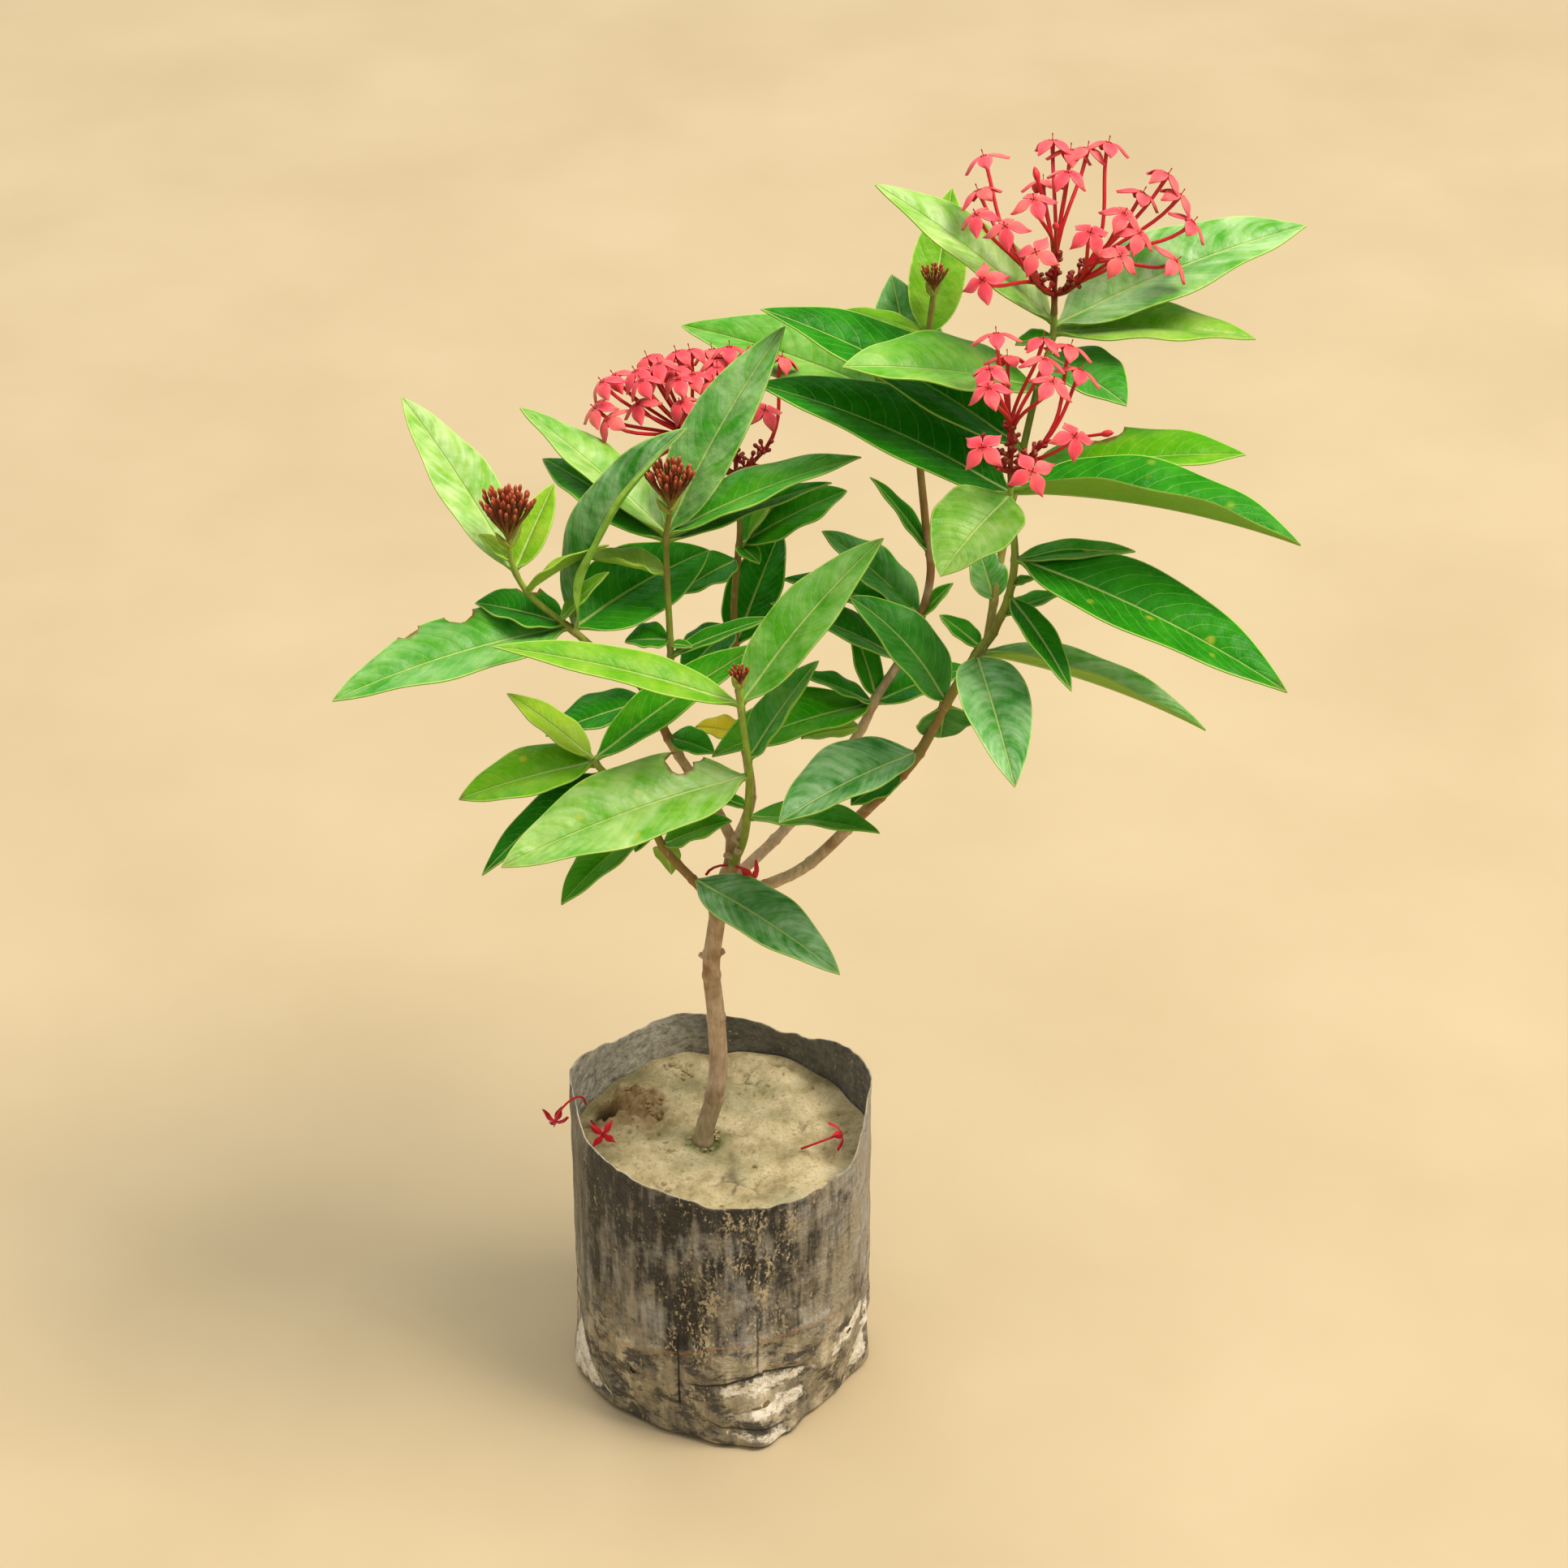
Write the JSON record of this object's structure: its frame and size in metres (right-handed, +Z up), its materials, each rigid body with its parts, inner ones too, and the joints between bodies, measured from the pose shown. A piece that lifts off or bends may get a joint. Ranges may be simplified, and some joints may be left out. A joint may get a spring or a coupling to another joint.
{
  "type": "potted ixora plant",
  "caption": "Flowering ixora shrub with glossy opposite leaves, coral flower heads and bud heads, standing in soil in a black nursery grow bag.",
  "frame": {"origin": "middle of the grow bag's flat underside, on the surface that it stands on", "axes": "+Z up, +X to the plant's right as seen from its front, +Y to its back"},
  "size_m": [0.4578, 0.2734, 0.6808],
  "materials": {
    "bag_film": "dull black polythene with mud film",
    "soil": "dried cracked clay soil, matt",
    "bark": "thin grey-brown bark, matt",
    "leaf": "leathery leaf, glossy above",
    "petal": "thin petal, satin",
    "bud": "closed bud, satin"
  },
  "bodies": {
    "root": {"grow_bag": "bag_film", "soil": "soil", "trunk": "bark", "shoot_low_left": "leaf", "shoot_left": "leaf", "shoot_centre": "leaf", "shoot_back": "leaf", "shoot_front": "leaf", "shoot_middle": "leaf", "shoot_right": "leaf", "shoot_right_front": "leaf", "shoot_right_back": "leaf", "bloom_right_back": "petal", "bloom_right_front": "petal", "bloom_back": "petal", "buds_left": "bud", "buds_centre": "bud", "buds_front": "bud", "buds_middle": "bud", "fallen_floret_left": "petal", "fallen_floret_right": "petal"}
  },
  "joints": []
}
